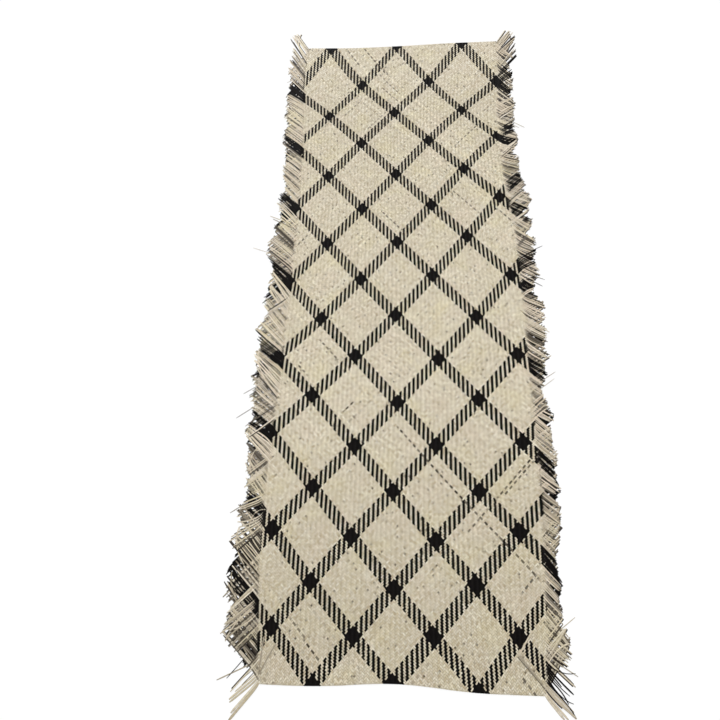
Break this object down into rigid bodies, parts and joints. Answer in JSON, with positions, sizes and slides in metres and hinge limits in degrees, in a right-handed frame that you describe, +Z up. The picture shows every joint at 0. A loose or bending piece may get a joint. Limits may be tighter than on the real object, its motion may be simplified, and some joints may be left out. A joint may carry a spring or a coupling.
{
  "type": "rattan mat",
  "caption": "Long flat floor mat plaited corner-wise from split rattan, with a black diagonal lattice, turned-back ends and raw fringed sides.",
  "frame": {"origin": "under the middle of the whole mat, fringes included, on the surface it lies on", "axes": "+Y along the mat towards its head end, +X to the right across the mat, +Z up"},
  "size_m": [0.753, 1.8662, 0.0032],
  "materials": {
    "woven_rattan": "matte",
    "raw_rattan": "matte",
    "dyed_rattan": "satin"
  },
  "bodies": {
    "root": {"woven_field": "woven_rattan", "fringe_left": "raw_rattan", "fringe_right": "raw_rattan", "folded_strand": "raw_rattan"}
  },
  "joints": []
}
